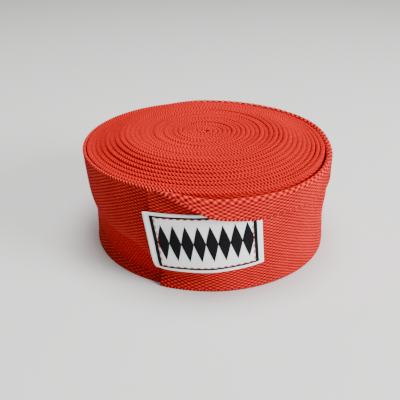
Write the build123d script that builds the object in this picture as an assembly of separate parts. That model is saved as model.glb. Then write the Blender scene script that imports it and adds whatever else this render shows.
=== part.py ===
from build123d import *
import os
from math import cos, degrees, pi, radians, sin

# A boxing hand wrap: one long woven cotton strip, rolled up standing on its edge.
# Its inner end carries a thumb loop, its outer end a closure tab with a hook patch on
# the inside and a sewn-on label on the outside. Millimetres, +Z up, front towards -Y.
# An azimuth is measured from the front (-Y) towards the right (+X). The strip winds
# outwards with the azimuth falling, so its outer end is the one with the lowest azimuth.

# ---- driving dimensions -------------------------------------------------------------
strip_width = 45.0          # also the height of the roll at its rim
strip_thickness = 1.85
turn_gap = 0.3              # air between one turn and the next
core_radius = 1.6           # centre line of the first half turn
loop_turns = 2              # turns that make room for the folded thumb loop
plain_turns = 21            # the ordinary turns outside those
core_rise = 5.0             # how far the middle of the roll is pushed up
plateau_radius = 35.0       # the raised middle is level inside this radius
level_turns = 2             # outer turns that stand flat on the table

seam_azimuth = 335.0        # where each full turn begins
tab_end = -25.0             # outer end of the strip
hinge_from_patches = 7.7    # strip length between the closure's patches and its hinge
lap_hinge = 132.0           # the outer lap unrolls about this line
hinge_gap = 0.3             # between the end faces of two moving stretches
running_gap = 0.4           # between the hook patch and the turn that it closes on

thumb_tape_width = 14.0
thumb_tape_thickness = 0.75
thumb_tape_gap = 0.15       # between its two layers, and between it and the strip
thumb_fold_length = 1.2     # length of the closed end of the folded tape
thumb_loop_arcs = 3         # half turns that the folded tape reaches along
tack_start = 10.0           # azimuths of the tacking, counted along the first half turn
tack_end = 150.0
tack_inset = 2.0            # tape edge to the tacking

hook_thickness = 0.9
hook_length = 45.0
hook_width = 37.0
hook_from_end = 2.0         # strip length left bare at the very end
loop_patch_thickness = 0.9
loop_patch_length = 58.0
loop_patch_width = 37.0
loop_patch_from_hinge = 8.0  # strip length between the lap hinge and the loop patch
patch_inset = 1.5           # stitch line to the patch's edge

label_thickness = 0.45
label_length = 49.0
label_height = 25.5
label_bottom = 8.7
label_overhang = 2.0        # how far the label reaches past the end of the strip
yarn_height = 0.12          # the black yarns stand this far off the label
frame_inset_side = 2.6      # label edge to the black frame, at the label's short sides
frame_inset_level = 1.2     # the same at its long sides
frame_bar_side = 1.3
frame_bar_level = 0.6
lozenge_count = 8
lozenge_width = 4.4
lozenge_height = 15.0
lozenge_end_share = 0.4     # share of a spacing left over at each end of the row

thread = 0.3
thread_low = 0.12           # how far a thread stands off where there is little room
stitch_length = 2.0
stitch_pitch = 3.0

# ---- derived --------------------------------------------------------------------------
turn_pitch = strip_thickness + turn_gap
thumb_loop_thickness = 2 * thumb_tape_thickness + thumb_tape_gap
loop_pitch = turn_pitch + thumb_loop_thickness + 2 * thumb_tape_gap


def outward(azimuth):
    """Level unit vector that points away from the middle of the roll."""
    return Vector(sin(radians(azimuth)), -cos(radians(azimuth)), 0)


def sweep_angle(length, radius):
    """Degrees that a length takes up on a circle."""
    return degrees(length / radius)


def arc_block(centre, inner, outer, start, end, bottom, top):
    """A block bent about a vertical axis: a stretch of cloth, tape or thread."""
    middle = (start + end) / 2
    outer_points = [centre + outward(a) * outer for a in (start, middle, end)]
    inner_points = [centre + outward(a) * inner for a in (end, middle, start)]
    outline = [
        ThreePointArc(*outer_points),
        Line(outer_points[2], inner_points[0]),
        ThreePointArc(*inner_points),
        Line(inner_points[2], outer_points[0]),
    ]
    return extrude(Pos(0, 0, bottom) * make_face(outline), amount=top - bottom, dir=(0, 0, 1))


def half_turn_radii():
    """Centre-line radius of each half turn, from the core out to the closure."""
    radii = [core_radius]
    for number in range(1, 2 * (loop_turns + plain_turns)):
        pitch = loop_pitch if number <= 2 * loop_turns else turn_pitch
        radii.append(radii[-1] + pitch / 2)
    return radii


def half_turns(radii, first_centre):
    """The arcs of the roll, each tangent to the one before: centre, radius, start azimuth."""
    arcs = []
    centre = first_centre
    for number, radius in enumerate(radii):
        start = seam_azimuth - 180 * (number % 2)
        arcs.append((centre, radius, start))
        if number + 1 < len(radii):
            centre = centre + outward(start - 180) * (radius - radii[number + 1])
    return arcs


def rise_at(radius, rim_radius):
    """How far a turn of this radius is pushed up: level middle, slope, flat rim."""
    slope_outer = rim_radius - level_turns * turn_pitch
    share = (slope_outer - radius) / (slope_outer - plateau_radius)
    return core_rise * min(1.0, max(0.0, share))


# ---- the path of the strip ----------------------------------------------------------
spiral_radii = half_turn_radii()
outer_turn_radius = spiral_radii[-1] + turn_pitch / 2
spiral = half_turns(spiral_radii + [outer_turn_radius], Vector(0, 0, 0))

# The last half turn swells a little, so that the hook patch fits under the closure tab.
outer_centre, outer_radius, outer_start = spiral[-1]
closure_start = outer_start - 180
half_thickness = strip_thickness / 2
hook_end = tab_end + sweep_angle(hook_from_end, outer_radius)
hook_start = hook_end + sweep_angle(hook_length, outer_radius)
hook_bottom = (strip_width - hook_width) / 2
swell = (hook_thickness + running_gap - turn_gap) / (1 - cos(radians(closure_start - hook_start)))
closure_radius = outer_radius + turn_pitch / 2 + swell
closure_centre = outer_centre + outward(closure_start) * (outer_radius - closure_radius)
closure_outer = closure_radius + half_thickness
closure_inner = closure_radius - half_thickness
hinge_half_angle = sweep_angle(hinge_gap / 2, closure_radius)

label_face = closure_outer + label_thickness
label_end = tab_end - sweep_angle(label_overhang, label_face)
label_start = label_end + sweep_angle(label_length, label_face)
label_top = label_bottom + label_height
frame_start = label_start - sweep_angle(frame_inset_side, label_face)
frame_end = label_end + sweep_angle(frame_inset_side, label_face)
frame_bottom = label_bottom + frame_inset_level
frame_top = label_top - frame_inset_level

# The closure tab bends about a line just clear of the hook patch and the label.
tab_hinge = max(hook_start, label_start) + sweep_angle(hinge_from_patches, outer_radius)
loop_patch_start = lap_hinge + sweep_angle(loop_patch_from_hinge, closure_outer)


def closure_arc(start, end):
    """A full-width stretch of strip on the last half turn."""
    return arc_block(closure_centre, closure_inner, closure_outer, start, end, 0, strip_width)


def make_rolled_strip():
    """Every turn that stays put, from the core to the hinge of the outer lap."""
    stretches = []
    for centre, radius, start in spiral:
        bottom = rise_at(radius, outer_turn_radius)
        inner, outer = radius - half_thickness, radius + half_thickness
        top = bottom + strip_width
        stretches.append(arc_block(centre, inner, outer, start, start - 180, bottom, top))
    stretches.append(closure_arc(closure_start, lap_hinge + hinge_half_angle))
    return stretches[0].fuse(*stretches[1:])


def make_outer_lap():
    """The stretch that unrolls first, between the two hinge lines."""
    return closure_arc(lap_hinge - hinge_half_angle, tab_hinge + hinge_half_angle)


def make_closure_tab():
    """The last stretch of strip, which peels off the roll."""
    return closure_arc(tab_hinge - hinge_half_angle, tab_end)


def thumb_tape_arcs():
    """Where the folded tape lies: outside the first half turns of the strip."""
    first_face = half_thickness + thumb_tape_gap
    for centre, radius, start in spiral[:thumb_loop_arcs]:
        yield centre, radius + first_face, start


def make_thumb_loop():
    """A narrow tape folded in two, its layers side by side and closed at the far end."""
    bottom = core_rise + (strip_width - thumb_tape_width) / 2
    top = bottom + thumb_tape_width
    layers = []
    for centre, face, start in thumb_tape_arcs():
        for offset in (0, thumb_tape_thickness + thumb_tape_gap):
            inner = face + offset
            outer = inner + thumb_tape_thickness
            layers.append(arc_block(centre, inner, outer, start, start - 180, bottom, top))
    outer = face + thumb_loop_thickness
    fold = sweep_angle(thumb_fold_length, outer)
    layers.append(arc_block(centre, face, outer, start - 180 + fold, start - 180, bottom, top))
    return layers[0].fuse(*layers[1:])


def stitch_rows(centre, inner, outer, start, end, bottom, top, end_rows=True):
    """Threads along the four sides of a rectangle that is bent round the roll."""
    step = sweep_angle(stitch_pitch, outer)
    length = sweep_angle(stitch_length, outer)
    width = sweep_angle(thread, outer)
    stitches = []
    for level in (bottom, top):
        for number in range(int((start - end - length) / step) + 1):
            at = start - number * step
            stitches.append((at, at - length, level - thread / 2, level + thread / 2))
    if end_rows:
        for number in range(1, int((top - bottom - stitch_length) / stitch_pitch) + 1):
            level = bottom + number * stitch_pitch - stitch_length / 2
            for at in (start, end):
                stitches.append((at, at - width, level, level + stitch_length))
    return [arc_block(centre, inner, outer, a, b, low, high) for a, b, low, high in stitches]


def make_thumb_loop_stitches():
    """The tacking that holds the tape's open end to the end of the strip."""
    centre, face, start = next(thumb_tape_arcs())
    inner = face + thumb_loop_thickness
    middle = core_rise + strip_width / 2
    reach = thumb_tape_width / 2 - tack_inset
    return stitch_rows(
        centre, inner, inner + thread_low, start - tack_start, start - tack_end,
        middle - reach, middle + reach,
    )


# ---- closure: hook patch, loop patch ------------------------------------------------
def make_hook_patch():
    """Stiff tape of small hooks, on the inside of the closure tab."""
    return arc_block(
        closure_centre, closure_inner - hook_thickness, closure_inner,
        hook_start, hook_end, hook_bottom, hook_bottom + hook_width,
    )


def make_hook_patch_stitches():
    """Thread round the edge of the hook patch, low enough to clear the turn below it."""
    face = closure_inner - hook_thickness
    inset = sweep_angle(patch_inset, face)
    return stitch_rows(
        closure_centre, face - thread_low, face, hook_start - inset, hook_end + inset,
        hook_bottom + patch_inset, hook_bottom + hook_width - patch_inset,
    )


def loop_patch_stretches():
    """The patch crosses from the outer turn to the swelling half turn: one stretch on each."""
    whole = sweep_angle(loop_patch_length, closure_outer)
    loop_patch_end = loop_patch_start + whole
    yield closure_centre, closure_outer, closure_start, loop_patch_start
    yield outer_centre, outer_radius + half_thickness, loop_patch_end, closure_start


def make_loop_patch():
    """Soft loop tape on the outside, one wrist's length back from the hooks."""
    bottom = (strip_width - loop_patch_width) / 2
    top = bottom + loop_patch_width
    stretches = [
        arc_block(centre, face, face + loop_patch_thickness, start, end, bottom, top)
        for centre, face, start, end in loop_patch_stretches()
    ]
    return stretches[0].fuse(stretches[1])


def make_loop_patch_stitches():
    """Thread round the edge of the loop patch."""
    low = (strip_width - loop_patch_width) / 2 + patch_inset
    high = low + loop_patch_width - 2 * patch_inset
    stitches = []
    for centre, face, start, end in loop_patch_stretches():
        inner = face + loop_patch_thickness
        inset = sweep_angle(patch_inset, inner)
        stitches += stitch_rows(
            centre, inner, inner + thread, start - inset, end + inset, low, high, end_rows=False
        )
    return stitches


# ---- label --------------------------------------------------------------------------
def label_block(start, end, bottom, top):
    """A block of black yarn on the label's face."""
    outer = label_face + yarn_height
    return arc_block(closure_centre, label_face, outer, start, end, bottom, top)


def make_label():
    """The woven label, sewn to the outside of the closure tab."""
    return arc_block(
        closure_centre, closure_outer, label_face, label_start, label_end, label_bottom, label_top
    )


def make_label_frame():
    """The black woven border."""
    side = sweep_angle(frame_bar_side, label_face)
    bars = [
        label_block(frame_start, frame_end, frame_bottom, frame_bottom + frame_bar_level),
        label_block(frame_start, frame_end, frame_top - frame_bar_level, frame_top),
        label_block(frame_start, frame_start - side, frame_bottom, frame_top),
        label_block(frame_end + side, frame_end, frame_bottom, frame_top),
    ]
    return bars[0].fuse(*bars[1:])


def make_label_motif():
    """A row of upright black lozenges inside the border."""
    middle = (label_start + label_end) / 2
    level = (label_bottom + label_top) / 2
    spacing = (frame_start - frame_end) / (lozenge_count + 2 * lozenge_end_share)
    through = 2 * (label_face + yarn_height - closure_inner)
    skin = label_block(frame_start, frame_end, frame_bottom, frame_top)
    corners = [
        (-lozenge_width / 2, 0),
        (0, -lozenge_height / 2),
        (lozenge_width / 2, 0),
        (0, lozenge_height / 2),
    ]
    lozenges = []
    for number in range(lozenge_count):
        azimuth = middle + (number - (lozenge_count - 1) / 2) * spacing
        start = closure_centre + outward(azimuth) * closure_inner + Vector(0, 0, level)
        face_plane = Plane(start, x_dir=outward(azimuth + 90), z_dir=outward(azimuth))
        prism = extrude(face_plane * make_face(Polyline(*corners, close=True)), amount=through)
        lozenges.append(skin & prism)
    return lozenges


def make_label_stitches():
    """Straight stitching along the middle of the border."""
    inset = sweep_angle(frame_bar_side / 2, label_face)
    face = label_face + yarn_height
    return stitch_rows(
        closure_centre, face, face + thread, frame_start - inset, frame_end + inset,
        frame_bottom + frame_bar_level / 2, frame_top - frame_bar_level / 2,
    )


# ---- build, centre and write ----------------------------------------------------------
nodes = {
    "rolled_strip": make_rolled_strip(),
    "outer_lap": make_outer_lap(),
    "closure_tab": make_closure_tab(),
    "thumb_loop": make_thumb_loop(),
    "thumb_loop_stitches": make_thumb_loop_stitches(),
    "hook_patch": make_hook_patch(),
    "hook_patch_stitches": make_hook_patch_stitches(),
    "loop_patch": make_loop_patch(),
    "loop_patch_stitches": make_loop_patch_stitches(),
    "label": make_label(),
    "label_frame": make_label_frame(),
    "label_motif": make_label_motif(),
    "label_stitches": make_label_stitches(),
}


def solids_of(shape):
    """The separate solids of a node, whether it was made as one shape or as a list."""
    pieces = shape if isinstance(shape, list) else [shape]
    return [solid for piece in pieces for solid in piece.solids()]


everything = Compound([solid for shape in nodes.values() for solid in solids_of(shape)])
box = everything.bounding_box()
to_origin = Pos(-box.center().X, -box.center().Y, -box.min.Z)

os.makedirs("parts", exist_ok=True)
for name, shape in nodes.items():
    solids = [to_origin * solid for solid in solids_of(shape)]
    node = solids[0] if len(solids) == 1 else Compound(solids)
    node.label = name
    export_step(node, f"parts/{name}.step")

moved = Vector(*to_origin.position)
strip_length = sum(pi * radius for _, radius, _ in spiral)
strip_length += closure_radius * radians(closure_start - tab_end)
print(f"strip length {strip_length:.0f} mm, outside radius {closure_outer:.2f} mm")
print("closure centre", closure_centre + moved, "outer centre", outer_centre + moved)
for name, azimuth in (("lap_hinge", lap_hinge), ("tab_hinge", tab_hinge)):
    print(name, closure_centre + moved + outward(azimuth) * closure_outer)
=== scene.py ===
from math import cos, pi, radians, sin

import bmesh
import bpy
import numpy as np
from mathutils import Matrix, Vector


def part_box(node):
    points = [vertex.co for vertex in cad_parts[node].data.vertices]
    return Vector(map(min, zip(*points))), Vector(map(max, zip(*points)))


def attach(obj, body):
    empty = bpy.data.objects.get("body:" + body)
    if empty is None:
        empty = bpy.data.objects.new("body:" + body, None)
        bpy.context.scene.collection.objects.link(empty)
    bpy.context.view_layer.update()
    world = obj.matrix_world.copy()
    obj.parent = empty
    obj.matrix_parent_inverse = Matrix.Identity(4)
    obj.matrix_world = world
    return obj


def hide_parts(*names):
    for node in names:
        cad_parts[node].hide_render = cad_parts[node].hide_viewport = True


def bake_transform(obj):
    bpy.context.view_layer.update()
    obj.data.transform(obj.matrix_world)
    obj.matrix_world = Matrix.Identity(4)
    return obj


# A rolled-up boxing hand wrap. Metres, +Z up, front towards -Y. An azimuth is measured
# from the front towards +X. The strip is followed from its outer end inwards: s is the
# length of cloth from that end, u the distance up from the strip's lower edge.

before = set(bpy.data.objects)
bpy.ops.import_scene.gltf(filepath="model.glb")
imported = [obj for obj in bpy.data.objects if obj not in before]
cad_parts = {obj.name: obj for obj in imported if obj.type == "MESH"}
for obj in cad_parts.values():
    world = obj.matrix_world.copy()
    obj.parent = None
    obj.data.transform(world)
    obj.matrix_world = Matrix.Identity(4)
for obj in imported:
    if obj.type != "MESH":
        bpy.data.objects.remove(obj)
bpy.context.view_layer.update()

MM = 0.001

# ---- sizes shared with the CAD model ---------------------------------------------------
STRIP_WIDTH = 45.0 * MM
THICKNESS = 1.85 * MM
PITCH = 2.15 * MM
OUTER_RADIUS = 54.95 * MM
SWELL = 0.604 * MM
TAB_END = -25.0
LAP_HINGE = 132.0
CORE_RISE = 5.0 * MM
PLATEAU_RADIUS = 35.0 * MM
LABEL_THICKNESS = 0.45 * MM

HALF = THICKNESS / 2
CLOSURE_RADIUS = OUTER_RADIUS + PITCH / 2 + SWELL
CORE_RADIUS = 1.2 * MM
BRAID_PITCH = 1.55 * MM     # one stitch of the woven edge
BRAID_SLANT = 0.8           # its strands run back this much along the strip
BRAID_RELIEF = 0.13 * MM
BRAID_WIDTH = 1.3 * MM      # how far the braid reaches down the face
BRAID_CREST = 0.06 * MM
WEAVE_S = 1.6 * MM          # one cell of the weave, along the strip and across it
WEAVE_U = 0.72 * MM
WEAVE_RELIEF = 0.11 * MM
OUTER_THICKNESS = 1.4 * MM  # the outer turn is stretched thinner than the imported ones


def outward(azimuth):
    """Level unit vectors that point away from the axis, for azimuths in degrees."""
    a = np.radians(azimuth)
    return np.stack([np.sin(a), -np.cos(a)], axis=-1)


def smooth(x, low, high):
    """0 below low, 1 above high, easing between."""
    t = np.clip((x - low) / (high - low), 0.0, 1.0)
    return t * t * (3 - 2 * t)


# ---- the path of the strip, from the frame's boxes --------------------------------------
roll_low, roll_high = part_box("rolled_strip")
SEAM = outward(TAB_END + 180)
OUTER_CENTRE = np.array(
    [roll_low[0] + OUTER_RADIUS + HALF, roll_high[1] - OUTER_RADIUS - HALF]
)
EVEN_CENTRE = OUTER_CENTRE - SEAM * PITCH / 2
CLOSURE_CENTRE = OUTER_CENTRE + SEAM * (OUTER_RADIUS - CLOSURE_RADIUS)

half_turn_count = int(round((OUTER_RADIUS - CORE_RADIUS) / (PITCH / 2))) + 2
half_radii = np.array(
    [CLOSURE_RADIUS] + [OUTER_RADIUS - n * PITCH / 2 for n in range(half_turn_count - 1)]
)
half_starts = np.concatenate([[0.0], np.cumsum(pi * half_radii)])
STRIP_LENGTH = half_starts[-1]


def length_at(azimuth):
    """Cloth length from the outer end to an azimuth; 360 more is one turn further in."""
    turn = (azimuth - TAB_END) / 180.0
    return float(np.interp(turn, np.arange(half_turn_count + 1), half_starts))


def path(s):
    """Centre, radius and azimuth of the strip's centre line at cloth lengths s."""
    turn = np.interp(s, half_starts, np.arange(half_turn_count + 1))
    number = np.minimum(turn.astype(int), half_turn_count - 1)
    centre = np.where((number % 2 == 1)[:, None], OUTER_CENTRE, EVEN_CENTRE)
    centre = np.where((number == 0)[:, None], CLOSURE_CENTRE, centre)
    return centre, half_radii[number], TAB_END + 180.0 * turn


# ---- how the roll has settled ----------------------------------------------------------
LEAN = 3.4 * MM             # the foot of the roll stands this far to the right of its rim
RIGHT_TAPER = 0.078         # how much the right side is drawn in at the table
WAIST = 0.025               # and at the waist
WAIST_HEIGHT = 16 * MM
WAIST_SPREAD = 12 * MM
LEFT_TAPER = 0.007
FRONT_FLAT = 0.048          # the front is pressed flatter, at every height
FRONT_TAPER = 0.018         # and a little more so at the table
RIM_SQUEEZE = 0.028         # the fold on the right is pulled tight
SQUEEZE_COMES = (25, 75)    # azimuths between which that begins
SQUEEZE_GOES = (88, 125)    # and ends
SQUEEZE_HEIGHTS = (24 * MM, 37 * MM)
LOBES = 0.004               # three shallow lobes round the foot
# A crease runs from the left side down to the label; below it the hem flares out again.
CREASE_AZIMUTHS = (-180, -130, -90, -65, -40, -22, -5, 60)
CREASE_HEIGHTS = np.array([14.0, 14.0, 13.5, 11.5, 8.5, 5.0, 4.5, 4.5]) * MM
CREASE_DEPTHS = (0.0, 0.008, 0.018, 0.068, 0.095, 0.040, 0.010, 0.0)
CREASE_REACHES = np.array([9.0, 9.0, 9.0, 9.0, 8.0, 3.5, 3.0, 3.0]) * MM    # upwards


def settle(points):
    """Draws the roll in below its rim, leans it, and creases it above the flaring hem."""
    x, y, z = points[..., 0], points[..., 1], points[..., 2]
    azimuth = np.degrees(np.arctan2(x, -y))
    across, forward = np.sin(np.radians(azimuth)), np.cos(np.radians(azimuth))
    right, left = np.maximum(across, 0) ** 1.5, np.maximum(-across, 0) ** 1.5
    foot = np.clip(1 - z / STRIP_WIDTH, 0, 1)
    waist = WAIST * np.exp(-(((z - WAIST_HEIGHT) / WAIST_SPREAD) ** 2))
    share = right * (RIGHT_TAPER * foot + waist) + left * LEFT_TAPER * foot
    share = share + (FRONT_FLAT + FRONT_TAPER * foot) * np.maximum(forward, 0) ** 2
    crease = np.interp(azimuth, CREASE_AZIMUTHS, CREASE_HEIGHTS)
    depth = np.interp(azimuth, CREASE_AZIMUTHS, CREASE_DEPTHS)
    reach = np.interp(azimuth, CREASE_AZIMUTHS, CREASE_REACHES)
    above = np.exp(-((np.maximum(z - crease, 0) / reach) ** 2))
    share = share + depth * np.where(z < crease, z / crease, above)
    tight = smooth(azimuth, *SQUEEZE_COMES) * (1 - smooth(azimuth, *SQUEEZE_GOES))
    share = share + RIM_SQUEEZE * tight * smooth(z, *SQUEEZE_HEIGHTS)
    share = share + LOBES * np.sin(np.radians(azimuth) * 3 + 0.7) * foot
    return np.stack([x * (1 - share) + LEAN * foot, y * (1 - share), z], axis=-1)


def rise_at(radius):
    """How far a turn stands up: the middle of the roll is pushed up."""
    slope = smooth(radius, PLATEAU_RADIUS - 2 * MM, OUTER_RADIUS - PITCH)
    return CORE_RISE * (1 - slope)


OVERHANG_AZIMUTHS = (-25, -12, 3, 21, 60, 85)
OVERHANG_LENGTHS = (0, 3.8, 8.0, 10.6, 11.4, 11.4)      # in mm
OVERHANG_GOES = (90, 215)


def overhang_at(azimuth):
    """Length of cloth that folds over the rim of the outer turn, in metres."""
    grows = np.interp(azimuth, OVERHANG_AZIMUTHS, OVERHANG_LENGTHS)
    fades = 1 - smooth(azimuth, *OVERHANG_GOES)
    return grows * fades * MM


FOLD_RADIUS = 0.74 * MM
FOLD_DROP = 2.2 * MM        # the fold lies this far below the edges of the turns inside it
FOLD_GAP = 0.5 * MM         # and stands this far off them
FLARE = 0.02                # slope of the fold's free edge away from the wall
EXTRA_FLARE = 0.52          # and how much is added where the fold leaves the rim
FLARE_GOES = (-8, 32)
SINK_GOES = (140, 155)


def flare_at(azimuth):
    """How far the free edge of the fold stands off: most where it leaves the rim."""
    return FLARE + EXTRA_FLARE * (1 - smooth(azimuth, *FLARE_GOES))


def reach_at(s):
    """Distance of the strip's centre line from the origin, along its own azimuth."""
    centre, radius, azimuth = path(s)
    return (centre * outward(azimuth)).sum(axis=-1) + radius


def sink_at(s):
    """How far the closure is drawn in, so that it lies as close as any other turn."""
    s = np.asarray(s, dtype=float)
    azimuth = path(s.ravel())[2]
    inner = np.array([length_at(a + 360) for a in azimuth])
    gap = (reach_at(s.ravel()) - reach_at(inner) - PITCH).reshape(s.shape)
    fade = smooth(s, length_at(SINK_GOES[0]), length_at(SINK_GOES[1]))
    return np.maximum(gap, 0) * (1 - fade)


def folded_section(u_share, overhang, flare, front):
    """The section of the outer turn: up the wall, over the rim and down outside.

    front is 1 where the fold drops below the inner turns and 0 where it does not. Gives
    the length up the cloth, radial offset, height, and the tangent in the radial plane.
    """
    folded = smooth(overhang, 2 * MM, 9 * MM) * front
    drop = FOLD_DROP * folded
    bend = FOLD_RADIUS * np.sin(np.minimum(overhang / FOLD_RADIUS, pi / 2))
    start = STRIP_WIDTH - drop - bend
    u = u_share * (start + overhang)
    over = np.maximum(u - start, 0)
    angle = np.minimum(over / FOLD_RADIUS, pi)
    below = np.maximum(over - pi * FOLD_RADIUS, 0)
    radial = FOLD_RADIUS * (1 - np.cos(angle)) + flare * below
    radial = radial + FOLD_GAP * folded * smooth(np.minimum(u, start), 0.7 * start, start)
    height = np.minimum(u, start) + FOLD_RADIUS * np.sin(angle) - below
    return u, radial, height, np.sin(angle), np.cos(angle)


# ---- mesh helpers ------------------------------------------------------------------
def make_object(name, vertices, faces, uv, material, edge_uv=None):
    """A mesh object from arrays, smooth-shaded, with a map of cloth distances in mm.

    The second map says how near a point is to a braided edge, from 0 to 1, and how far
    it is from the edge's crest.
    """
    mesh = bpy.data.meshes.new(name)
    mesh.from_pydata(vertices.reshape(-1, 3).tolist(), [], [list(face) for face in faces])
    corners = np.empty(len(mesh.loops), dtype=np.int32)
    mesh.loops.foreach_get("vertex_index", corners)
    for map_name, values in (("cloth", uv), ("edge", edge_uv)):
        if values is not None:
            layer = mesh.uv_layers.new(name=map_name)
            flat = values.reshape(-1, 2)[corners].astype(np.float32)
            layer.data.foreach_set("uv", flat.ravel())
    mesh.polygons.foreach_set("use_smooth", np.ones(len(mesh.polygons), dtype=bool))
    mesh.materials.append(material)
    shell = bmesh.new()
    shell.from_mesh(mesh)
    bmesh.ops.recalc_face_normals(shell, faces=shell.faces)
    shell.to_mesh(mesh)
    shell.free()
    piece = bpy.data.objects.new(name, mesh)
    bpy.context.collection.objects.link(piece)
    return piece


def tube_faces(columns, around):
    """Quads of a sleeve of rings, and the flat rungs that close both ends of a ribbon."""
    i, j = np.meshgrid(np.arange(columns - 1), np.arange(around), indexing="ij")
    k = (j + 1) % around
    quads = np.stack(
        [i * around + j, (i + 1) * around + j, (i + 1) * around + k, i * around + k], axis=-1
    )
    faces = [tuple(face) for face in quads.reshape(-1, 4).tolist()]
    half = (around - 2) // 2
    last = (columns - 1) * around
    for rung in range(half - 1):
        a, b = rung, rung + 1
        c, d = 2 * half - rung - 1, 2 * half - rung
        faces.append((a, b, c, d))
        faces.append((last + d, last + c, last + b, last + a))
    top, bottom = half, 2 * half + 1
    faces.append((half - 1, top, half + 1))
    faces.append((last + half + 1, last + top, last + half - 1))
    faces.append((0, 2 * half, bottom))
    faces.append((last + bottom, last + 2 * half, last))
    return faces


EDGE_STEPS = np.array([0, 0.15, 0.6, 1.1]) * MM     # from the edge inwards
EDGE_SHARES = (0.68, 0.94, 0.99, 1.0)               # of the full thickness


def ribbon(name, s, u, centre_line, tangent, normal, thickness, material, relief=0.0):
    """A closed band of cloth about a grid of points: two faces and two braided edges.

    centre_line, tangent (up the cloth) and normal (its outer side) are columns x rows x 3.
    """
    width = u.max(axis=1, keepdims=True)
    from_edge = np.minimum(u, width - u)
    half = thickness / 2 * np.interp(from_edge, EDGE_STEPS, EDGE_SHARES)
    near = 1 - np.clip(from_edge / BRAID_WIDTH, 0, 1)
    upper = np.where(u > width / 2, 1.0, -1.0)
    from_crest = half + from_edge
    stitch = np.cos(2 * pi * (s[:, None] - BRAID_SLANT * from_crest) / BRAID_PITCH)
    weave = np.sin(pi * s[:, None] / WEAVE_S) * np.sin(pi * u / WEAVE_U) * (1 - near)
    level = centre_line + tangent * (BRAID_RELIEF * near * stitch * upper)[..., None]
    bulge = half + 0.4 * BRAID_RELIEF * stitch * near
    outer = level + normal * (bulge + relief * weave)[..., None]
    inner = level - normal * (bulge - relief * weave)[..., None]
    crest = BRAID_CREST + BRAID_RELIEF * np.cos(2 * pi * s / BRAID_PITCH)
    top = centre_line[:, -1] + tangent[:, -1] * crest[:, None]
    bottom = centre_line[:, 0] - tangent[:, 0] * crest[:, None]
    rings = np.concatenate([outer, top[:, None], inner[:, ::-1], bottom[:, None]], axis=1)
    beyond = half[:, :1]
    ring_u = np.concatenate([u, width + beyond, u[:, ::-1], -beyond], axis=1)
    ring_near = np.clip(1 - np.minimum(ring_u, width - ring_u) / BRAID_WIDTH, 0, 1)
    ring_crest = np.concatenate(
        [from_crest, 0 * beyond, from_crest[:, ::-1], 0 * beyond], axis=1
    )
    uv = np.stack([np.broadcast_to(s[:, None], ring_u.shape), ring_u], axis=-1) / MM
    around = rings.shape[1]
    rings = settle(rings)
    rings[..., 2] = np.maximum(rings[..., 2], 0.0)
    edge_uv = np.stack([ring_near, ring_crest / MM], axis=-1)
    return make_object(name, rings, tube_faces(len(s), around), uv, material, edge_uv)


def strip_piece(name, s_start, s_end, step, rows, material, relief=0.0):
    """A stretch of the outer turn, from one cloth length to another, with its rim fold."""
    s = np.linspace(s_start, s_end, int(abs(s_end - s_start) / step) + 1)
    centre, radius, azimuth = path(s)
    share = np.broadcast_to(np.linspace(0, 1, rows)[None, :], (len(s), rows))
    front = 1 - smooth(azimuth, 60, 110)
    u, radial, height, lean, rise = folded_section(
        share, overhang_at(azimuth)[:, None], flare_at(azimuth)[:, None], front[:, None]
    )
    out = outward(azimuth)
    reach = ((radius - sink_at(s))[:, None] + radial)[..., None]
    xy = centre[:, None, :] + out[:, None, :] * reach
    line = np.concatenate([xy, height[..., None]], axis=-1)
    level = np.broadcast_to(out[:, None, :], (len(s), rows, 2))
    tangent = np.concatenate([level * lean[..., None], rise[..., None]], axis=-1)
    normal = np.concatenate([level * rise[..., None], -lean[..., None]], axis=-1)
    thin = 1 - 0.35 * (1 - smooth(s, 0, 4 * MM))
    thickness = (OUTER_THICKNESS * thin)[:, None]
    return ribbon(name, s, u, line, tangent, normal, thickness, material, relief)


ROLL_MARKS = np.array([0.0, 0.6, 22.0, 43.6, 44.4, 44.85, 45.0]) * MM   # rows up a turn
GROOVE_RADII = (12.0 * MM, 34.5 * MM, 49.2 * MM, 51.9 * MM)
GROOVE_WIDTH = 0.6 * MM
GROOVE_DEPTH = 0.42 * MM
RIM_THINNING = 0.9 * MM     # the outermost of these turns is thinner
TURN_PRESS = 0.04 * MM      # neighbouring turns press into each other this far


def roll_piece(name, s_start, s_end, step, material):
    """The turns inside the outer one: tall bands whose braided edges show on top."""
    s = np.linspace(s_start, s_end, int(abs(s_end - s_start) / step) + 1)
    centre, radius, azimuth = path(s)
    u = np.broadcast_to(ROLL_MARKS[None, :], (len(s), len(ROLL_MARKS)))
    unrest = 0.14 * np.sin(s / 0.041) + 0.10 * np.sin(s / 0.0173 + 1.0)
    unrest = unrest * MM * smooth(s, s_start, s_start + 0.15)
    mean = radius_along(s)
    stand = rise_at(mean)
    rise = stand + np.maximum(unrest, -stand)
    out = outward(azimuth)
    xy = centre + out * radius[:, None]
    rows = len(ROLL_MARKS)
    xy = np.broadcast_to(xy[:, None, :], (len(s), rows, 2))
    line = np.concatenate([xy, (u + rise[:, None])[..., None]], axis=-1)
    tangent = np.zeros((len(s), rows, 3))
    tangent[..., 2] = 1
    level = np.broadcast_to(out[:, None, :], (len(s), rows, 2))
    normal = np.concatenate([level, np.zeros((len(s), rows, 1))], axis=-1)
    grooves = sum(np.exp(-(((mean - ring) / GROOVE_WIDTH) ** 2)) for ring in GROOVE_RADII)
    rim = smooth(mean, OUTER_RADIUS - 0.9 * MM, OUTER_RADIUS - 0.4 * MM)
    thickness = (PITCH + TURN_PRESS - GROOVE_DEPTH * grooves - RIM_THINNING * rim)[:, None]
    return ribbon(name, s, u, line, tangent, normal, thickness, material)


def radius_along(s):
    """Radius that shrinks evenly along the strip, for slopes without steps."""
    return np.interp(s, half_starts[:-1] + pi * half_radii / 2, half_radii)


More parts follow.
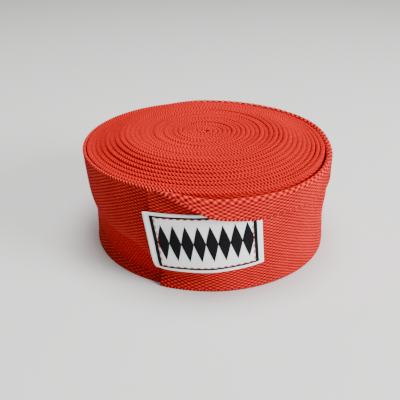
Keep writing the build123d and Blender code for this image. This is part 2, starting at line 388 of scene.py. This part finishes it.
# ---- materials ---------------------------------------------------------------------
class Nodes:
    """Short forms for building a node tree."""

    def __init__(self, name):
        self.material = bpy.data.materials.new(name)
        self.material.use_nodes = True
        self.tree = self.material.node_tree
        self.shader = self.tree.nodes["Principled BSDF"]

    def add(self, kind, **values):
        node = self.tree.nodes.new(kind)
        for key, value in values.items():
            setattr(node, key, value)
        return node

    def link(self, source, target):
        self.tree.links.new(source, target)

    def math(self, operation, first, second=None, clamp=False):
        node = self.add("ShaderNodeMath", operation=operation, use_clamp=clamp)
        for socket, value in zip(node.inputs, (first, second)):
            if value is None:
                continue
            if isinstance(value, (int, float)):
                socket.default_value = value
            else:
                self.link(value, socket)
        return node.outputs[0]

    def cloth_distances(self):
        uv = self.add("ShaderNodeUVMap", uv_map="cloth")
        split = self.add("ShaderNodeSeparateXYZ")
        self.link(uv.outputs[0], split.inputs[0])
        return uv.outputs[0], split.outputs[0], split.outputs[1]

    def edge_distances(self):
        uv = self.add("ShaderNodeUVMap", uv_map="edge")
        split = self.add("ShaderNodeSeparateXYZ")
        self.link(uv.outputs[0], split.inputs[0])
        return split.outputs[0], split.outputs[1]

    def noise(self, vector, scale, detail=2.0):
        node = self.add("ShaderNodeTexNoise")
        node.inputs["Scale"].default_value = scale
        node.inputs["Detail"].default_value = detail
        self.link(vector, node.inputs["Vector"])
        return node.outputs["Fac"]

    def ramp(self, factor, stops):
        node = self.add("ShaderNodeValToRGB")
        elements = node.color_ramp.elements
        while len(elements) < len(stops):
            elements.new(0.5)
        for element, (position, colour) in zip(elements, stops):
            element.position = position
            element.color = (*colour, 1)
        self.link(factor, node.inputs[0])
        return node.outputs[0]

    def bump(self, height, distance):
        node = self.add("ShaderNodeBump")
        node.inputs["Distance"].default_value = distance
        node.inputs["Strength"].default_value = 1.0
        self.link(height, node.inputs["Height"])
        self.link(node.outputs[0], self.shader.inputs["Normal"])

    def finish(self, colour, roughness, sheen=0.0, specular=0.08):
        self.link(colour, self.shader.inputs["Base Color"])
        self.shader.inputs["Roughness"].default_value = roughness
        self.shader.inputs["Sheen Weight"].default_value = sheen
        self.shader.inputs["Specular IOR Level"].default_value = specular
        return self.material


def woven(
    name, valley, middle, crest, pitch_s, pitch_u, depth, roughness=0.95, sheen=0.0, braid=0.0
):
    """Plain weave: yarns over and under. braid is the stitch length of its woven edges."""
    n = Nodes(name)
    uv, s, u = n.cloth_distances()
    wobble = n.math("MULTIPLY", n.math("SUBTRACT", n.noise(uv, 0.35), 0.5), 0.7)
    along = n.math("SINE", n.math("MULTIPLY", n.math("ADD", s, wobble), pi / pitch_s))
    across = n.math("SINE", n.math("MULTIPLY", n.math("ADD", u, wobble), pi / pitch_u))
    weave = n.math("MULTIPLY", along, across)
    if braid:
        closeness, from_crest = n.edge_distances()
        back = n.math("SUBTRACT", s, n.math("MULTIPLY", from_crest, BRAID_SLANT))
        mask = n.math("MULTIPLY", closeness, 2.0, clamp=True)
        strands = n.math("COSINE", n.math("MULTIPLY", back, 2 * pi / braid))
        chevron = n.math("MULTIPLY", strands, mask)
        plain = n.math("MULTIPLY", weave, n.math("SUBTRACT", 1.0, mask))
        weave = n.math("ADD", chevron, plain)
    fibre = n.noise(uv, 2.6, 4.0)
    cloudy = n.noise(uv, 0.045, 3.0)
    height = n.math("ADD", n.math("MULTIPLY", weave, 0.42), n.math("MULTIPLY", fibre, 0.55))
    tone = n.math("ADD", height, n.math("MULTIPLY", n.math("SUBTRACT", cloudy, 0.5), 0.3))
    tone = n.math("ADD", tone, 0.24, clamp=True)
    # The ramp colours the yarns by their height: the valley colour is painted shade in the dips of
    # the weave and braid, the crest colour a painted highlight on the raised yarns; the fibre and
    # cloudy noise add random tone.
    colour = n.ramp(tone, [(0.05, valley), (0.5, middle), (0.95, crest)])
    n.bump(height, depth)
    return n.finish(colour, roughness, sheen)


def threads(name, dark, light, pitch, depth, roughness=0.8):
    """Twisted thread or fine satin: narrow ribs along one direction."""
    n = Nodes(name)
    uv, s, u = n.cloth_distances()
    slant = n.math("ADD", s, n.math("MULTIPLY", u, 0.6))
    ribs = n.math("SINE", n.math("MULTIPLY", slant, 2 * pi / pitch))
    fibre = n.noise(uv, 3.5, 3.0)
    tone = n.math("ADD", n.math("MULTIPLY", ribs, 0.25), fibre, clamp=True)
    n.bump(tone, depth)
    # The colour follows the rib height: painted shade between the ribs, painted highlight on them,
    # over random fibre tone.
    return n.finish(n.ramp(tone, [(0.15, dark), (0.8, light)]), roughness, 0.1)


# Every woven ramp paints shade into the yarns' valleys and a highlight on their crests.
# COTTON_RED, for the outer wall and fold, is the same cloth as EDGE_RED on the top, with darker
# valleys and lighter crests: stronger painted shade and painted highlight.
COTTON_RED = woven(
    "red_cotton", (0.05, 0.001, 0.001), (0.38, 0.007, 0.006), (0.76, 0.045, 0.037),
    WEAVE_S / MM, WEAVE_U / MM, 0.4 * MM, braid=BRAID_PITCH / MM,
)
EDGE_RED = woven(
    "red_cotton_edges", (0.20, 0.002, 0.002), (0.43, 0.006, 0.005), (0.58, 0.015, 0.012),
    WEAVE_S / MM, WEAVE_U / MM, 0.4 * MM, braid=BRAID_PITCH / MM,
)
LABEL_WHITE = woven(
    "white_satin_label", (0.70, 0.73, 0.75), (0.88, 0.90, 0.92), (0.96, 0.97, 0.98),
    0.32, 0.42, 0.08 * MM, 0.62, 0.1,
)
YARN_BLACK = woven(
    "black_label_yarn", (0.0015, 0.0015, 0.002), (0.005, 0.005, 0.006), (0.016, 0.016, 0.018),
    0.45, 0.45, 0.15 * MM, 0.9, 0.0,
)
THREAD_RED = threads("red_thread", (0.35, 0.02, 0.015), (0.80, 0.10, 0.07), 0.5, 0.1 * MM)
HOOK_BLACK = threads(
    "black_hook_tape", (0.006, 0.006, 0.007), (0.04, 0.04, 0.045), 0.8, 0.1 * MM, 0.5
)
LOOP_RED = threads(
    "red_loop_tape", (0.30, 0.015, 0.012), (0.66, 0.06, 0.045), 0.7, 0.2 * MM, 0.95
)
TAPE_RED = woven(
    "red_thumb_tape", (0.25, 0.012, 0.010), (0.55, 0.04, 0.03), (0.75, 0.09, 0.07),
    0.6, 0.7, 0.2 * MM,
)

# ---- the strip -----------------------------------------------------------------------
FINE = 0.4 * MM
ROWS = 118
ROLL_START = TAB_END + 12 + 360     # the joint between pieces hides under the tab
FIXED_END = 240.0
LAP_MIDDLE = 82.0

roll_turns = roll_piece("roll_turns", length_at(ROLL_START), STRIP_LENGTH, 0.42 * MM, EDGE_RED)
outer_turn = strip_piece(
    "outer_turn", length_at(FIXED_END), length_at(ROLL_START), FINE, ROWS, COTTON_RED, WEAVE_RELIEF
)
lap_cloth = strip_piece(
    "lap_cloth", length_at(LAP_MIDDLE), length_at(FIXED_END), FINE, ROWS, COTTON_RED, WEAVE_RELIEF
)
tab_cloth = strip_piece(
    "tab_cloth", 0.0, length_at(LAP_MIDDLE), FINE, ROWS, COTTON_RED, WEAVE_RELIEF
)


def on_closure(length, height, stand_off):
    """A point on the outer half turn: cloth length from the end, height, distance off the face."""
    azimuth = TAB_END + np.degrees(length / CLOSURE_RADIUS)
    reach = CLOSURE_RADIUS - sink_at(length) + OUTER_THICKNESS / 2 + stand_off
    xy = CLOSURE_CENTRE + outward(azimuth) * reach[..., None]
    return settle(np.concatenate([xy, height[..., None]], axis=-1))


# ---- label ---------------------------------------------------------------------------
LABEL_LENGTH = 49.0 * MM
LABEL_HEIGHT = 26.0 * MM
LABEL_BOTTOM = 9.6 * MM
LABEL_OVERHANG = 1.2 * MM
LABEL_SLOPE = 0.055         # its right end sits a little higher
LABEL_LEAN = 0.08           # its short sides lean to the left
LABEL_RISE = 0.15 * MM
LABEL_SAG = 0.9 * MM        # its lower edge bows down in the middle
LABEL_LIFT = 0.9 * MM       # its left end stands off the cloth
LABEL_LIFT_FADE = 1.6 * MM
LABEL_RIPPLE = 0.12 * MM


def on_label(a, b, stand_off):
    """Label distances (from its lower left corner) to a point in space."""
    lean = LABEL_LEAN * (1 - 0.5 * a / LABEL_LENGTH)
    length = a - LABEL_OVERHANG - lean * (b - LABEL_HEIGHT * 0.35)
    height = LABEL_BOTTOM + b + LABEL_SLOPE * a
    height = height - LABEL_SAG * np.sin(pi * a / LABEL_LENGTH) * (1 - b / LABEL_HEIGHT)
    lift = LABEL_LIFT * np.exp(-a / LABEL_LIFT_FADE)
    ripple = LABEL_RIPPLE * np.sin(a / (3.1 * MM)) * np.sin(b / (4.0 * MM) + 1)
    return on_closure(length, height, LABEL_RISE + lift + ripple + stand_off)


def plate(place, grid, low, high, material):
    """A closed plate over a grid of flat distances, between two distances off a face."""
    a, b = grid
    far, near = (place(a, b, height + 0 * a).reshape(-1, 3) for height in (high, low))
    index = np.arange(a.size).reshape(a.shape)
    quads = np.stack([index[:-1, :-1], index[1:, :-1], index[1:, 1:], index[:-1, 1:]], -1)
    faces = quads.reshape(-1, 4).tolist() + (quads[..., ::-1] + a.size).reshape(-1, 4).tolist()
    rim = np.concatenate([index[:, 0], index[-1, 1:], index[-2::-1, -1], index[0, -2:0:-1]])
    for here, there in zip(rim, np.roll(rim, -1)):
        faces.append([there, here, here + a.size, there + a.size])
    uv = np.stack([a, b], -1).reshape(-1, 2) / MM
    return np.concatenate([far, near]), faces, np.concatenate([uv, uv]), material


def join_plates(name, plates):
    """One object from several closed plates."""
    points, faces, uvs, offset = [], [], [], 0
    for plate_points, plate_faces, plate_uv, material in plates:
        points.append(plate_points)
        uvs.append(plate_uv)
        faces += [[corner + offset for corner in face] for face in plate_faces]
        offset += len(plate_points)
    return make_object(name, np.concatenate(points), faces, np.concatenate(uvs), material)


def rectangle(a0, a1, b0, b1, step=0.6 * MM):
    """A grid over a rectangle of label distances."""
    a = np.linspace(a0, a1, max(2, int((a1 - a0) / step) + 1))
    b = np.linspace(b0, b1, max(2, int((b1 - b0) / step) + 1))
    return np.meshgrid(a, b, indexing="ij")


def lozenge(centre_a, centre_b):
    """A grid over a diamond: rows narrow towards its upper and lower points."""
    t = np.linspace(-1, 1, 25)
    across = np.linspace(-0.5, 0.5, 7)
    cross, level = np.meshgrid(across, t, indexing="ij")
    taper = np.maximum(1 - np.abs(level) ** 1.15, 0.02)
    return centre_a + cross * LOZENGE_WIDTH * taper, centre_b + level * LOZENGE_HEIGHT / 2


FRAME_SIDE = 2.4 * MM
FRAME_LEVEL = 1.3 * MM
BAR_SIDE = 1.5 * MM
BAR_LEVEL = 0.7 * MM
YARN_LOW, YARN_HIGH = LABEL_THICKNESS - 0.05 * MM, LABEL_THICKNESS + 0.09 * MM
LOZENGES = 8
LOZENGE_WIDTH = 5.2 * MM
LOZENGE_HEIGHT = 16.0 * MM

whole_label = rectangle(0, LABEL_LENGTH, 0, LABEL_HEIGHT)
label_cloth = join_plates(
    "label_cloth", [plate(on_label, whole_label, 0.0, LABEL_THICKNESS, LABEL_WHITE)]
)
inner_length = LABEL_LENGTH - 2 * FRAME_SIDE
inner_top = LABEL_HEIGHT - FRAME_LEVEL
bars = [
    (FRAME_SIDE, LABEL_LENGTH - FRAME_SIDE, FRAME_LEVEL, FRAME_LEVEL + BAR_LEVEL),
    (FRAME_SIDE, LABEL_LENGTH - FRAME_SIDE, inner_top - BAR_LEVEL, inner_top),
    (FRAME_SIDE, FRAME_SIDE + BAR_SIDE, FRAME_LEVEL + BAR_LEVEL, inner_top - BAR_LEVEL),
    (
        LABEL_LENGTH - FRAME_SIDE - BAR_SIDE, LABEL_LENGTH - FRAME_SIDE,
        FRAME_LEVEL + BAR_LEVEL, inner_top - BAR_LEVEL,
    ),
]
border_yarn = join_plates(
    "border_yarn",
    [plate(on_label, rectangle(*bar), YARN_LOW, YARN_HIGH, YARN_BLACK) for bar in bars],
)
spacing = inner_length / (LOZENGES + 0.6)
motif_yarn = join_plates(
    "motif_yarn",
    [
        plate(
            on_label,
            lozenge(LABEL_LENGTH / 2 + (n - (LOZENGES - 1) / 2) * spacing, LABEL_HEIGHT / 2),
            YARN_LOW, YARN_HIGH, YARN_BLACK,
        )
        for n in range(LOZENGES)
    ],
)


# ---- threads -------------------------------------------------------------------------
def sleeve_faces(offset, steps, around):
    """Faces of one closed thin tube made of rings; offset numbers its first corner."""
    faces = []
    for i in range(steps - 1):
        for j in range(around):
            k = (j + 1) % around
            faces.append([
                offset + i * around + j, offset + i * around + k,
                offset + (i + 1) * around + k, offset + (i + 1) * around + j,
            ])
    faces.append([offset + j for j in range(around)][::-1])
    faces.append([offset + (steps - 1) * around + j for j in range(around)])
    return faces


def stitch_mesh(place, starts, ends, radius, lift):
    """Short humped threads between pairs of points on a surface.

    place turns flat distances into space; starts and ends are rows of those distances.
    """
    points, faces, uvs = [], [], []
    steps, around = 7, 6
    for start, end in zip(starts, ends):
        t = np.linspace(0, 1, steps)
        flat = start[None, :] * (1 - t[:, None]) + end[None, :] * t[:, None]
        along = (end - start) / np.linalg.norm(end - start)
        side = np.array([-along[1], along[0]])
        swell = radius * (0.45 + 0.55 * np.sin(pi * t))
        offset = len(points) * steps * around
        ring = []
        for number in range(around):
            angle = 2 * pi * number / around
            sideways = flat + side[None, :] * (swell * cos(angle))[:, None]
            off = lift + swell * (1 + sin(angle)) - radius
            ring.append(place(sideways[:, 0], sideways[:, 1], off))
        points.append(np.stack(ring, axis=1).reshape(-1, 3))
        uv_s = np.repeat(t[:, None] * np.linalg.norm(end - start), around, axis=1)
        uv_u = np.repeat(np.linspace(0, 2 * radius * pi, around)[None, :], steps, axis=0)
        uvs.append(np.stack([uv_s, uv_u], -1).reshape(-1, 2) / MM)
        faces += sleeve_faces(offset, steps, around)
    return np.concatenate(points), faces, np.concatenate(uvs)


def stitch_line(first, last, length=2.3 * MM, pitch=2.9 * MM):
    """Ends of the threads along a straight line of flat distances."""
    first, last = np.array(first, float), np.array(last, float)
    whole = np.linalg.norm(last - first)
    along = (last - first) / whole
    count = int((whole - length) / pitch) + 1
    begins = [first + along * pitch * n for n in range(count)]
    return begins, [begin + along * length for begin in begins]


def stitched_outline(name, place, a0, a1, b0, b1, radius, lift):
    """A rectangle of straight stitching."""
    starts, ends = [], []
    corners = [(a0, b0), (a1, b0), (a1, b1), (a0, b1)]
    for first, last in zip(corners, corners[1:] + corners[:1]):
        begin, end = stitch_line(first, last)
        starts += begin
        ends += end
    points, faces, uv = stitch_mesh(place, starts, ends, radius, lift)
    return make_object(name, points, faces, uv, THREAD_RED)


SEAM_SIDE = FRAME_SIDE + BAR_SIDE + 0.35 * MM       # the seam runs just inside the border
SEAM_LEVEL = FRAME_LEVEL + BAR_LEVEL + 0.25 * MM
label_threads = stitched_outline(
    "label_threads", on_label, SEAM_SIDE, LABEL_LENGTH - SEAM_SIDE,
    SEAM_LEVEL, LABEL_HEIGHT - SEAM_LEVEL, radius=0.24 * MM, lift=LABEL_THICKNESS,
)


# ---- closure tapes ---------------------------------------------------------------------
HOOK_START, HOOK_END = 2.0 * MM, 46.0 * MM
HOOK_LOW, HOOK_HIGH = 4.0 * MM, 41.0 * MM
TAPE_STEP = 0.8 * MM
HOOK_SEAM = 1.5 * MM        # the seams run this far inside the tapes' edges
LOOP_SEAM = 1.4 * MM
LOOP_FROM_HINGE = 8.0 * MM
LOOP_LENGTH = 57.0 * MM


def inside_tab(a, b, stand_off):
    """A point on the inner face of the tab."""
    return on_closure(a, b, -OUTER_THICKNESS - stand_off)


hook_base = join_plates(
    "hook_base",
    [plate(inside_tab, rectangle(HOOK_START, HOOK_END, HOOK_LOW, HOOK_HIGH, TAPE_STEP),
           -0.1 * MM, 0.4 * MM, HOOK_BLACK)],
)


def field(place, a_values, b_values, height, radius, reach, seed, material, name):
    """Rows of small bent filaments: hooks or brushed loops."""
    rng = np.random.default_rng(seed)
    steps, around = 6, 4
    t = np.linspace(0, 1, steps)
    points, faces, uvs = [], [], []
    for a in a_values:
        for b in b_values:
            turn = rng.uniform(-0.5, 0.5)
            arc = t * pi * 1.15
            out = height * np.sin(np.minimum(arc, pi * 0.999) / 1.15)
            sweep = reach * (1 - np.cos(arc)) / 2
            flat_a = a + rng.uniform(-0.1, 0.1) * MM + sweep * sin(turn)
            flat_b = b + rng.uniform(-0.1, 0.1) * MM + sweep * cos(turn)
            offset = len(points) * steps * around
            ring = [
                place(flat_a + radius * dx, flat_b + radius * dz * 0.3, out + radius * dz)
                for dx, dz in ((1, 0), (0, 1), (-1, 0), (0, -1))
            ]
            points.append(np.stack(ring, axis=1).reshape(-1, 3))
            uvs.append(np.repeat(np.stack([t, t], -1), around, axis=0))
            faces += sleeve_faces(offset, steps, around)
    return make_object(name, np.concatenate(points), faces, np.concatenate(uvs), material)


def along_strip(a, b, stand_off):
    """A point on the outer face anywhere on the outer turn."""
    centre, radius, azimuth = path(np.atleast_1d(a).ravel())
    shape = np.shape(a)
    centre, radius = centre.reshape(*shape, 2), radius.reshape(shape)
    out = outward(azimuth.reshape(shape))
    xy = centre + out * (radius + HALF + stand_off)[..., None]
    return settle(np.concatenate([xy, b[..., None]], axis=-1))


hook_field = field(
    lambda a, b, h: inside_tab(a, b, 0.35 * MM + h),
    np.arange(HOOK_START + 1 * MM, HOOK_END - 1 * MM, 1.5 * MM),
    np.arange(HOOK_LOW + 1 * MM, HOOK_HIGH - 2 * MM, 1.4 * MM),
    height=0.45 * MM, radius=0.14 * MM, reach=0.6 * MM, seed=4,
    material=HOOK_BLACK, name="hook_field",
)
hook_threads = stitched_outline(
    "hook_threads", inside_tab, HOOK_START + HOOK_SEAM, HOOK_END - HOOK_SEAM,
    HOOK_LOW + HOOK_SEAM, HOOK_HIGH - HOOK_SEAM, radius=0.22 * MM, lift=0.6 * MM,
)

LOOP_START = length_at(LAP_HINGE) + LOOP_FROM_HINGE
LOOP_END = LOOP_START + LOOP_LENGTH
loop_base = join_plates(
    "loop_base",
    [plate(along_strip, rectangle(LOOP_START, LOOP_END, HOOK_LOW, HOOK_HIGH, TAPE_STEP),
           -0.1 * MM, 0.6 * MM, LOOP_RED)],
)
loop_field = field(
    lambda a, b, h: along_strip(a, b, 0.5 * MM + h),
    np.arange(LOOP_START + 2.5 * MM, LOOP_END - 2.5 * MM, 1.25 * MM),
    np.arange(HOOK_LOW + 2.5 * MM, HOOK_HIGH - 3.0 * MM, 1.2 * MM),
    height=0.5 * MM, radius=0.13 * MM, reach=0.9 * MM, seed=9,
    material=LOOP_RED, name="loop_field",
)
loop_threads = stitched_outline(
    "loop_threads", along_strip, LOOP_START + LOOP_SEAM, LOOP_END - LOOP_SEAM,
    HOOK_LOW + LOOP_SEAM, HOOK_HIGH - LOOP_SEAM, radius=0.26 * MM, lift=0.7 * MM,
)


for piece in (roll_turns, outer_turn, loop_base, loop_field, loop_threads):
    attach(piece, "roll")
on_the_tab = (label_cloth, border_yarn, motif_yarn, label_threads)
for piece in (*on_the_tab, hook_base, hook_field, hook_threads):
    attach(piece, "tab")
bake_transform(lap_cloth)
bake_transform(tab_cloth)

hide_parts("rolled_strip")
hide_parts("rolled_strip")
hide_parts("outer_lap")
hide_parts("closure_tab")
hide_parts("label")
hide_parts("label_frame")
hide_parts("label_motif")
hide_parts("label_stitches")
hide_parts("hook_patch")
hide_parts("hook_patch_stitches")
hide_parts("loop_patch")
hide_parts("loop_patch_stitches")

for name, material in (("thumb_loop", TAPE_RED), ("thumb_loop_stitches", THREAD_RED)):
    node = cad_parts[name]
    node.data.materials.clear()
    node.data.materials.append(material)

# ---- stage, light and camera -----------------------------------------------------------
bpy.ops.mesh.primitive_plane_add(size=6)
floor = bpy.context.object
floor.name = "floor"
pale = Nodes("pale_floor")
pale.shader.inputs["Base Color"].default_value = (0.62, 0.62, 0.61, 1)
pale.shader.inputs["Roughness"].default_value = 0.9
floor.data.materials.append(pale.material)

world = bpy.data.worlds.new("studio")
world.use_nodes = True
world.node_tree.nodes["Background"].inputs["Color"].default_value = (1.0, 0.99, 0.98, 1)
world.node_tree.nodes["Background"].inputs["Strength"].default_value = 0.30
bpy.context.scene.world = world


def area_light(name, place, target, size, power):
    """A soft square lamp that points at the object."""
    data = bpy.data.lights.new(name, "AREA")
    data.size = size
    data.energy = power
    lamp = bpy.data.objects.new(name, data)
    lamp.location = place
    direction = np.array(target) - np.array(place)
    lamp.rotation_euler = Vector(direction).to_track_quat("-Z", "Y").to_euler()
    bpy.context.collection.objects.link(lamp)


area_light("key", (0.75, -0.40, 0.38), (0, 0, 0.02), 0.4, 17.0)
area_light("overhead", (0.05, 0.05, 0.90), (0, 0, 0.02), 0.5, 14.0)

CAMERA_PLACE = (-3.4 * MM, -252.8 * MM, 147.6 * MM)
CAMERA_DIP = 27.65          # degrees below level

camera_data = bpy.data.cameras.new("camera")
camera_data.sensor_width = 36.0
camera_data.lens = 54.0
camera = bpy.data.objects.new("camera", camera_data)
camera.location = CAMERA_PLACE
camera.rotation_euler = (radians(90 - CAMERA_DIP), 0, 0)
bpy.context.collection.objects.link(camera)
bpy.context.scene.camera = camera
